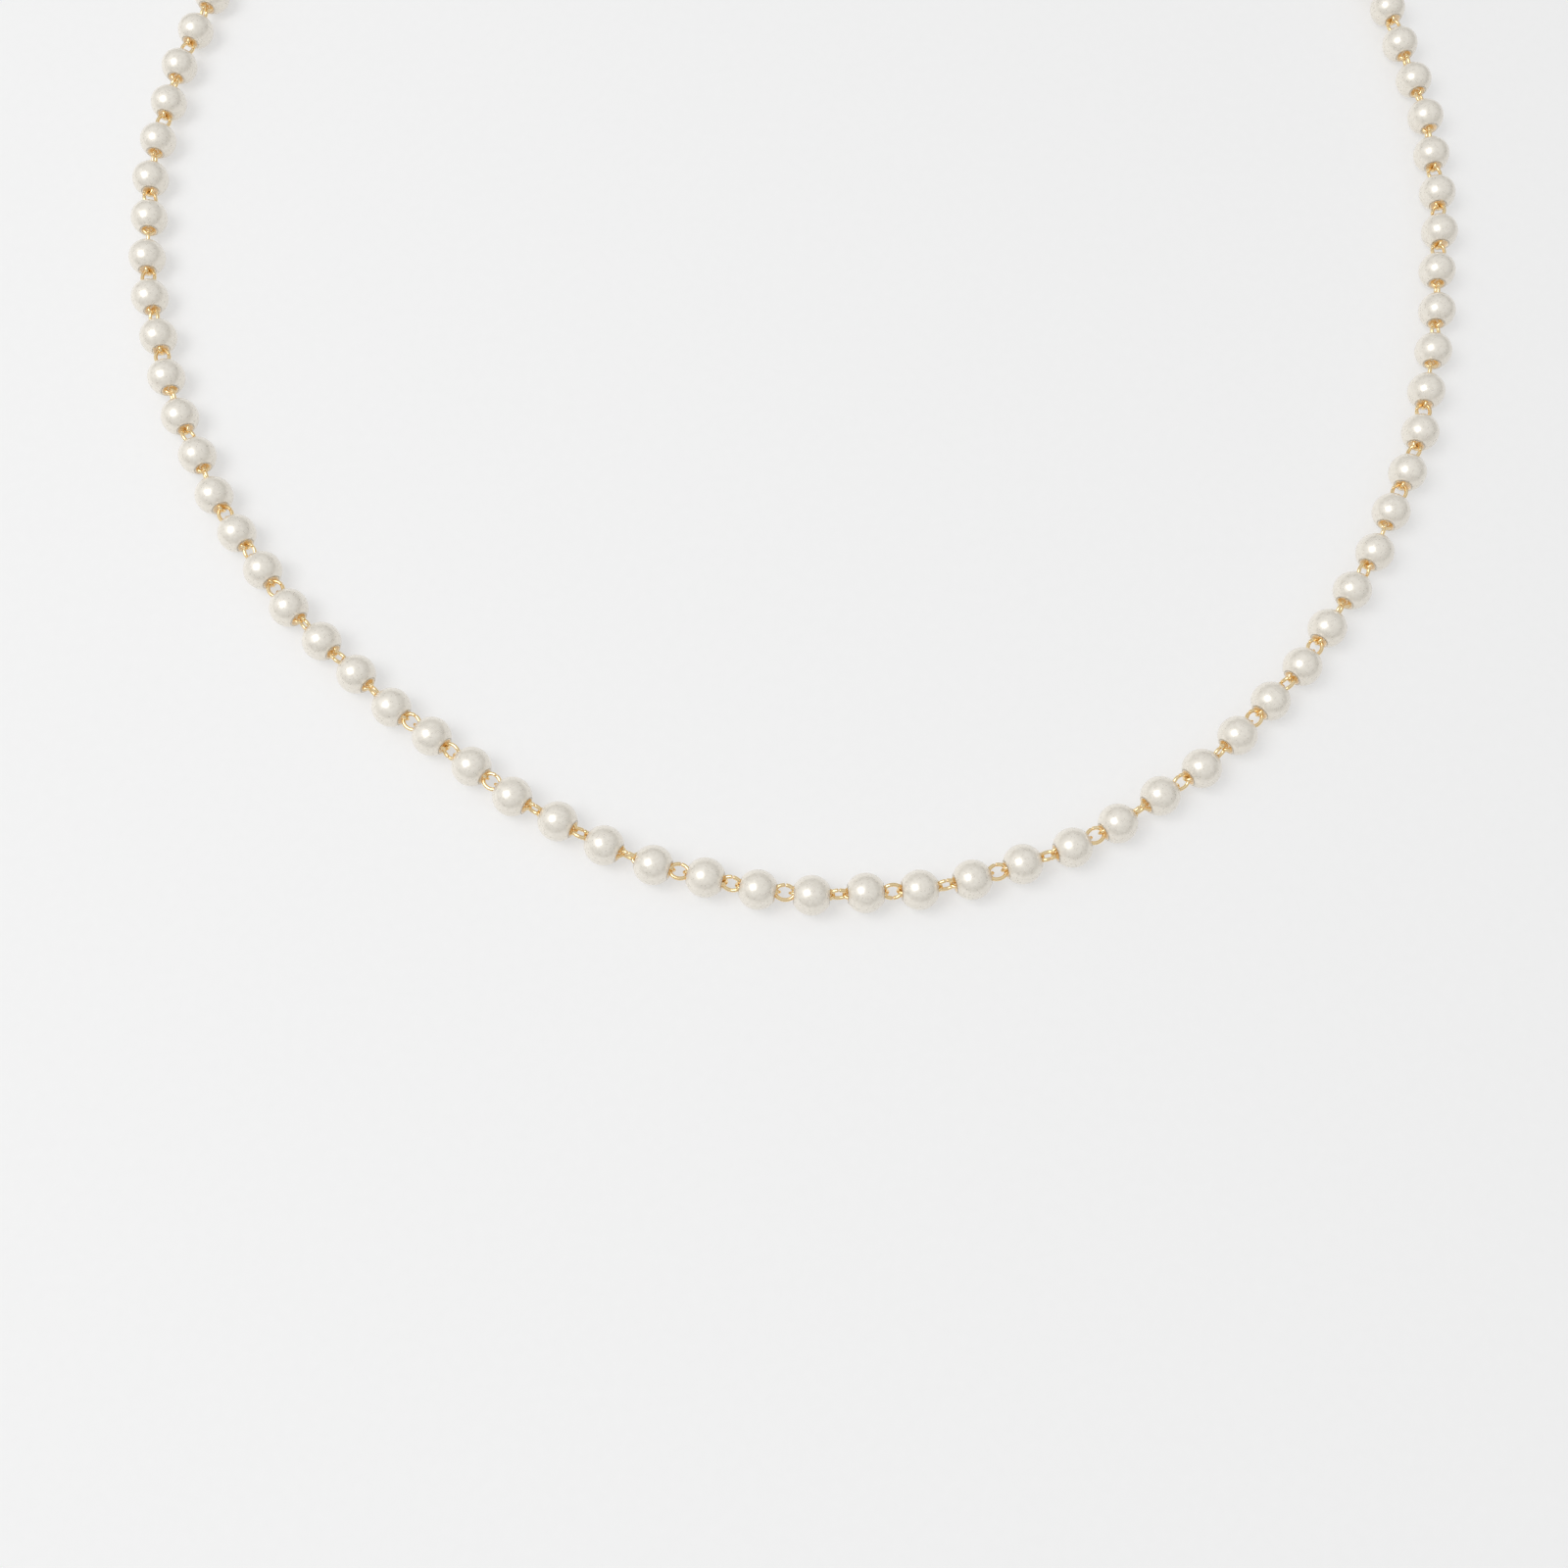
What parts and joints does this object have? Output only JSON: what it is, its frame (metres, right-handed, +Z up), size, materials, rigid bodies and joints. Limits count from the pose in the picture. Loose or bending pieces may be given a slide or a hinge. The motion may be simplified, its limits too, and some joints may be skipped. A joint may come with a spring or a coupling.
{
  "type": "pearl necklace",
  "caption": "Rosary-style necklace of round imitation pearls on gold wire eye pins, linked by small oval rings, with a lobster clasp and a short extender with a pearl drop.",
  "frame": {"origin": "middle of the necklace's outline on the table it lies on, laid open in a neck-shaped curve", "axes": "+Z up from the table; -Y towards the front of the neck, +Y towards the clasp and extender at the back; +X towards the extender end"},
  "size_m": [0.1492, 0.1884, 0.004],
  "materials": {
    "pearl": "satin",
    "gold": "polished",
    "spring_steel": "satin"
  },
  "bodies": {
    "pearl_run_01": {"pearl_run_01": "pearl"},
    "pearl_run_02": {"pearl_run_02": "pearl"},
    "pearl_run_03": {"pearl_run_03": "pearl"},
    "pearl_run_04": {"pearl_run_04": "pearl"},
    "pearl_run_05": {"pearl_run_05": "pearl"},
    "pearl_run_06": {"pearl_run_06": "pearl"},
    "pearl_run_07": {"pearl_run_07": "pearl"},
    "pearl_run_08": {"pearl_run_08": "pearl"},
    "pearl_run_09": {"pearl_run_09": "pearl"},
    "pearl_run_10": {"pearl_run_10": "pearl"},
    "pearl_run_11": {"pearl_run_11": "pearl"},
    "pearl_run_12": {"pearl_run_12": "pearl"},
    "pearl_run_13": {"pearl_run_13": "pearl"},
    "pearl_run_14": {"pearl_run_14": "pearl"},
    "pearl_run_15": {"pearl_run_15": "pearl"},
    "pearl_run_16": {"pearl_run_16": "pearl"},
    "pearl_run_17": {"pearl_run_17": "pearl"},
    "pearl_run_18": {"pearl_run_18": "pearl"},
    "pearl_run_19": {"pearl_run_19": "pearl"},
    "pearl_run_20": {"pearl_run_20": "pearl"},
    "pearl_run_21": {"pearl_run_21": "pearl"},
    "pearl_run_22": {"pearl_run_22": "pearl"},
    "pearl_run_23": {"pearl_run_23": "pearl"},
    "pearl_run_24": {"pearl_run_24": "pearl"},
    "link_ring_01": {"link_ring_01": "gold"},
    "link_ring_02": {"link_ring_02": "gold"},
    "link_ring_03": {"link_ring_03": "gold"},
    "link_ring_04": {"link_ring_04": "gold"},
    "link_ring_05": {"link_ring_05": "gold"},
    "link_ring_06": {"link_ring_06": "gold"},
    "link_ring_07": {"link_ring_07": "gold"},
    "link_ring_08": {"link_ring_08": "gold"},
    "link_ring_09": {"link_ring_09": "gold"},
    "link_ring_10": {"link_ring_10": "gold"},
    "link_ring_11": {"link_ring_11": "gold"},
    "link_ring_12": {"link_ring_12": "gold"},
    "link_ring_13": {"link_ring_13": "gold"},
    "link_ring_14": {"link_ring_14": "gold"},
    "link_ring_15": {"link_ring_15": "gold"},
    "link_ring_16": {"link_ring_16": "gold"},
    "link_ring_17": {"link_ring_17": "gold"},
    "link_ring_18": {"link_ring_18": "gold"},
    "link_ring_19": {"link_ring_19": "gold"},
    "link_ring_20": {"link_ring_20": "gold"},
    "link_ring_21": {"link_ring_21": "gold"},
    "link_ring_22": {"link_ring_22": "gold"},
    "link_ring_23": {"link_ring_23": "gold"},
    "clasp_ring": {"clasp_ring": "gold"},
    "extender_ring": {"extender_ring": "gold"},
    "clasp": {"clasp_body": "gold", "clasp_pivot_pin": "gold"},
    "clasp_lever": {"clasp_lever": "gold", "clasp_spring": "spring_steel"},
    "extender_link_1": {"extender_link_1": "gold"},
    "extender_link_2": {"extender_link_2": "gold"},
    "extender_link_3": {"extender_link_3": "gold"},
    "extender_link_4": {"extender_link_4": "gold"},
    "extender_link_5": {"extender_link_5": "gold"},
    "drop_pin": {"drop_pin": "gold"},
    "drop_pearl": {"drop_pearl": "pearl"}
  },
  "joints": [
    {"name": "clasp_ring_swing", "type": "hinge", "parent": "pearl_run_01", "child": "clasp_ring", "pos_m": [-0.05785, 0.04769, 0.00167], "axis": [0.0746, 0.1821, 0.9804], "range_deg": [-35, 35]},
    {"name": "clasp_swing", "type": "hinge", "parent": "clasp_ring", "child": "clasp", "pos_m": [-0.05735, 0.04892, 0.0014], "axis": [0.9253, -0.3792, 0], "range_deg": [-35, 35]},
    {"name": "clasp_lever_hinge", "type": "hinge", "parent": "clasp", "child": "clasp_lever", "pos_m": [-0.05529, 0.05197, 0.0014], "axis": [0, 0, 1], "range_deg": [0, 25], "stiffness_Nm_per_rad": 0.002, "springref_deg": -17.19},
    {"name": "extender_ring_swing", "type": "hinge", "parent": "pearl_run_24", "child": "extender_ring", "pos_m": [0.05124, 0.06557, 0.00172], "axis": [-0.6925, -0.1837, 0.6976], "range_deg": [-35, 35]},
    {"name": "extender_swing_1", "type": "hinge", "parent": "extender_ring", "child": "extender_link_1", "pos_m": [0.0507, 0.06679, 0.0015], "axis": [0.6402, 0.3001, 0.7071], "range_deg": [-30, 30]},
    {"name": "extender_swing_2", "type": "hinge", "parent": "extender_link_1", "child": "extender_link_2", "pos_m": [0.04868, 0.07109, 0.0015], "axis": [0.6458, 0.2881, -0.7071], "range_deg": [-50, 50]},
    {"name": "extender_swing_3", "type": "hinge", "parent": "extender_link_2", "child": "extender_link_3", "pos_m": [0.04675, 0.07543, 0.0015], "axis": [-0.6463, -0.2869, -0.7071], "range_deg": [-50, 50]},
    {"name": "extender_swing_4", "type": "hinge", "parent": "extender_link_3", "child": "extender_link_4", "pos_m": [0.04482, 0.07977, 0.0015], "axis": [-0.6468, -0.2856, 0.7071], "range_deg": [-50, 50]},
    {"name": "extender_swing_5", "type": "hinge", "parent": "extender_link_4", "child": "extender_link_5", "pos_m": [0.0429, 0.08412, 0.0015], "axis": [0.6472, 0.2849, 0.7071], "range_deg": [-50, 50]},
    {"name": "drop_swing", "type": "hinge", "parent": "extender_link_5", "child": "drop_pin", "pos_m": [0.04095, 0.08855, 0.0015], "axis": [-0.6091, -0.3713, 0.7008], "range_deg": [-50, 50]},
    {"name": "drop_pearl_spin", "type": "hinge", "parent": "drop_pin", "child": "drop_pearl", "pos_m": [0.03946, 0.09193, 0.002], "axis": [-0.3992, 0.9071, 0.1337], "continuous": true},
    {"name": "ring_swing_12", "type": "hinge", "parent": "pearl_run_12", "child": "link_ring_12", "pos_m": [0.01071, -0.09168, 0.002], "axis": [0.0652, -0.7041, -0.7071], "range_deg": [-35, 35]},
    {"name": "run_swing_13", "type": "hinge", "parent": "link_ring_12", "child": "pearl_run_13", "pos_m": [0.01217, -0.09155, 0.002], "axis": [-0.0652, 0.7041, -0.7071], "range_deg": [-35, 35]},
    {"name": "ring_swing_13", "type": "hinge", "parent": "pearl_run_13", "child": "link_ring_13", "pos_m": [0.02603, -0.08776, 0.002], "axis": [0.2509, -0.6611, 0.7071], "range_deg": [-35, 35]},
    {"name": "run_swing_14", "type": "hinge", "parent": "link_ring_13", "child": "pearl_run_14", "pos_m": [0.02741, -0.08724, 0.002], "axis": [-0.2509, 0.6611, 0.7071], "range_deg": [-35, 35]},
    {"name": "ring_swing_14", "type": "hinge", "parent": "pearl_run_14", "child": "link_ring_14", "pos_m": [0.03967, -0.07974, 0.002], "axis": [-0.4129, 0.5741, 0.7071], "range_deg": [-35, 35]},
    {"name": "run_swing_15", "type": "hinge", "parent": "link_ring_14", "child": "pearl_run_15", "pos_m": [0.04086, -0.07889, 0.002], "axis": [0.4129, -0.5741, 0.7071], "range_deg": [-35, 35]},
    {"name": "ring_swing_15", "type": "hinge", "parent": "pearl_run_15", "child": "link_ring_15", "pos_m": [0.05108, -0.06875, 0.002], "axis": [-0.532, 0.4658, -0.7071], "range_deg": [-35, 35]},
    {"name": "run_swing_16", "type": "hinge", "parent": "link_ring_15", "child": "pearl_run_16", "pos_m": [0.05204, -0.06765, 0.002], "axis": [0.532, -0.4658, -0.7071], "range_deg": [-35, 35]},
    {"name": "ring_swing_16", "type": "hinge", "parent": "pearl_run_16", "child": "link_ring_16", "pos_m": [0.0601, -0.05571, 0.002], "axis": [0.6068, -0.3631, -0.7071], "range_deg": [-35, 35]},
    {"name": "run_swing_17", "type": "hinge", "parent": "link_ring_16", "child": "pearl_run_17", "pos_m": [0.06085, -0.05444, 0.002], "axis": [-0.6068, 0.3631, -0.7071], "range_deg": [-35, 35]},
    {"name": "ring_swing_17", "type": "hinge", "parent": "pearl_run_17", "child": "link_ring_17", "pos_m": [0.06675, -0.0413, 0.002], "axis": [0.6652, -0.2399, 0.7071], "range_deg": [-35, 35]},
    {"name": "run_swing_18", "type": "hinge", "parent": "link_ring_17", "child": "pearl_run_18", "pos_m": [0.06725, -0.03992, 0.002], "axis": [-0.6652, 0.2399, 0.7071], "range_deg": [-35, 35]},
    {"name": "ring_swing_18", "type": "hinge", "parent": "pearl_run_18", "child": "link_ring_18", "pos_m": [0.07058, -0.0259, 0.002], "axis": [-0.6976, 0.1159, 0.7071], "range_deg": [-35, 35]},
    {"name": "run_swing_19", "type": "hinge", "parent": "link_ring_18", "child": "pearl_run_19", "pos_m": [0.07082, -0.02445, 0.002], "axis": [0.6976, -0.1159, 0.7071], "range_deg": [-35, 35]},
    {"name": "ring_swing_19", "type": "hinge", "parent": "pearl_run_19", "child": "link_ring_19", "pos_m": [0.07246, -0.01013, 0.002], "axis": [-0.7064, 0.0306, -0.7071], "range_deg": [-35, 35]},
    {"name": "run_swing_20", "type": "hinge", "parent": "link_ring_19", "child": "pearl_run_20", "pos_m": [0.07253, -0.00866, 0.002], "axis": [0.7064, -0.0306, -0.7071], "range_deg": [-35, 35]},
    {"name": "ring_swing_20", "type": "hinge", "parent": "pearl_run_20", "child": "link_ring_20", "pos_m": [0.07191, 0.00572, 0.002], "axis": [0.6964, 0.1227, -0.7071], "range_deg": [-35, 35]},
    {"name": "run_swing_21", "type": "hinge", "parent": "link_ring_20", "child": "pearl_run_21", "pos_m": [0.07166, 0.00717, 0.002], "axis": [-0.6964, -0.1227, -0.7071], "range_deg": [-35, 35]},
    {"name": "ring_swing_21", "type": "hinge", "parent": "pearl_run_21", "child": "link_ring_21", "pos_m": [0.06861, 0.02126, 0.002], "axis": [0.6759, 0.2076, 0.7071], "range_deg": [-35, 35]},
    {"name": "run_swing_22", "type": "hinge", "parent": "link_ring_21", "child": "pearl_run_22", "pos_m": [0.06818, 0.02267, 0.002], "axis": [-0.6759, -0.2076, 0.7071], "range_deg": [-35, 35]},
    {"name": "ring_swing_22", "type": "hinge", "parent": "pearl_run_22", "child": "link_ring_22", "pos_m": [0.06373, 0.03638, 0.002], "axis": [-0.6514, -0.275, 0.7071], "range_deg": [-35, 35]},
    {"name": "run_swing_23", "type": "hinge", "parent": "link_ring_22", "child": "pearl_run_23", "pos_m": [0.06315, 0.03774, 0.002], "axis": [0.6514, 0.275, 0.7071], "range_deg": [-35, 35]},
    {"name": "ring_swing_23", "type": "hinge", "parent": "pearl_run_23", "child": "link_ring_23", "pos_m": [0.05771, 0.05109, 0.002], "axis": [-0.6306, -0.3198, -0.7071], "range_deg": [-35, 35]},
    {"name": "run_swing_24", "type": "hinge", "parent": "link_ring_23", "child": "pearl_run_24", "pos_m": [0.05705, 0.0524, 0.002], "axis": [0.6306, 0.3198, -0.7071], "range_deg": [-35, 35]},
    {"name": "ring_swing_11", "type": "hinge", "parent": "pearl_run_12", "child": "link_ring_11", "pos_m": [-0.00321, -0.09148, 0.002], "axis": [0.1445, 0.6922, 0.7071], "range_deg": [-35, 35]},
    {"name": "run_swing_11", "type": "hinge", "parent": "link_ring_11", "child": "pearl_run_11", "pos_m": [-0.00465, -0.09118, 0.002], "axis": [-0.1445, -0.6922, 0.7071], "range_deg": [-35, 35]},
    {"name": "ring_swing_10", "type": "hinge", "parent": "pearl_run_11", "child": "link_ring_10", "pos_m": [-0.01838, -0.08696, 0.002], "axis": [0.3176, 0.6318, -0.7071], "range_deg": [-35, 35]},
    {"name": "run_swing_10", "type": "hinge", "parent": "link_ring_10", "child": "pearl_run_10", "pos_m": [-0.01969, -0.0863, 0.002], "axis": [-0.3176, -0.6318, -0.7071], "range_deg": [-35, 35]},
    {"name": "ring_swing_09", "type": "hinge", "parent": "pearl_run_10", "child": "link_ring_09", "pos_m": [-0.03197, -0.07879, 0.002], "axis": [-0.4173, -0.5708, -0.7071], "range_deg": [-35, 35]},
    {"name": "run_swing_09", "type": "hinge", "parent": "link_ring_09", "child": "pearl_run_09", "pos_m": [-0.03315, -0.07793, 0.002], "axis": [0.4173, 0.5708, -0.7071], "range_deg": [-35, 35]},
    {"name": "ring_swing_08", "type": "hinge", "parent": "pearl_run_09", "child": "link_ring_08", "pos_m": [-0.04441, -0.06894, 0.002], "axis": [-0.4751, -0.5237, 0.7071], "range_deg": [-35, 35]},
    {"name": "run_swing_08", "type": "hinge", "parent": "link_ring_08", "child": "pearl_run_08", "pos_m": [-0.0455, -0.06795, 0.002], "axis": [0.4751, 0.5237, 0.7071], "range_deg": [-35, 35]},
    {"name": "ring_swing_07", "type": "hinge", "parent": "pearl_run_08", "child": "link_ring_07", "pos_m": [-0.05511, -0.05726, 0.002], "axis": [0.5622, 0.4289, 0.7071], "range_deg": [-35, 35]},
    {"name": "run_swing_07", "type": "hinge", "parent": "link_ring_07", "child": "pearl_run_07", "pos_m": [-0.056, -0.05609, 0.002], "axis": [-0.5622, -0.4289, 0.7071], "range_deg": [-35, 35]},
    {"name": "ring_swing_06", "type": "hinge", "parent": "pearl_run_07", "child": "link_ring_06", "pos_m": [-0.06344, -0.04377, 0.002], "axis": [0.6232, 0.3341, -0.7071], "range_deg": [-35, 35]},
    {"name": "run_swing_06", "type": "hinge", "parent": "link_ring_06", "child": "pearl_run_06", "pos_m": [-0.06414, -0.04248, 0.002], "axis": [-0.6232, -0.3341, -0.7071], "range_deg": [-35, 35]},
    {"name": "ring_swing_05", "type": "hinge", "parent": "pearl_run_06", "child": "link_ring_05", "pos_m": [-0.06937, -0.02907, 0.002], "axis": [-0.672, -0.2201, -0.7071], "range_deg": [-35, 35]},
    {"name": "run_swing_05", "type": "hinge", "parent": "link_ring_05", "child": "pearl_run_05", "pos_m": [-0.06982, -0.02768, 0.002], "axis": [0.672, 0.2201, -0.7071], "range_deg": [-35, 35]},
    {"name": "ring_swing_04", "type": "hinge", "parent": "pearl_run_05", "child": "link_ring_04", "pos_m": [-0.07223, -0.01349, 0.002], "axis": [-0.7026, -0.0795, 0.7071], "range_deg": [-35, 35]},
    {"name": "run_swing_04", "type": "hinge", "parent": "link_ring_04", "child": "pearl_run_04", "pos_m": [-0.07239, -0.01203, 0.002], "axis": [0.7026, 0.0795, 0.7071], "range_deg": [-35, 35]},
    {"name": "ring_swing_03", "type": "hinge", "parent": "pearl_run_04", "child": "link_ring_03", "pos_m": [-0.07189, 0.00235, 0.002], "axis": [0.7041, -0.0657, 0.7071], "range_deg": [-35, 35]},
    {"name": "run_swing_03", "type": "hinge", "parent": "link_ring_03", "child": "pearl_run_03", "pos_m": [-0.07175, 0.00381, 0.002], "axis": [-0.7041, 0.0657, 0.7071], "range_deg": [-35, 35]},
    {"name": "ring_swing_02", "type": "hinge", "parent": "pearl_run_03", "child": "link_ring_02", "pos_m": [-0.06873, 0.0179, 0.002], "axis": [0.6876, -0.165, -0.7071], "range_deg": [-35, 35]},
    {"name": "run_swing_02", "type": "hinge", "parent": "link_ring_02", "child": "pearl_run_02", "pos_m": [-0.06838, 0.01933, 0.002], "axis": [-0.6876, 0.165, -0.7071], "range_deg": [-35, 35]},
    {"name": "ring_swing_01", "type": "hinge", "parent": "pearl_run_02", "child": "link_ring_01", "pos_m": [-0.06363, 0.03293, 0.002], "axis": [-0.6694, 0.2279, -0.7071], "range_deg": [-35, 35]},
    {"name": "run_swing_01", "type": "hinge", "parent": "link_ring_01", "child": "pearl_run_01", "pos_m": [-0.06315, 0.03432, 0.002], "axis": [0.6694, -0.2279, -0.7071], "range_deg": [-35, 35]}
  ]
}
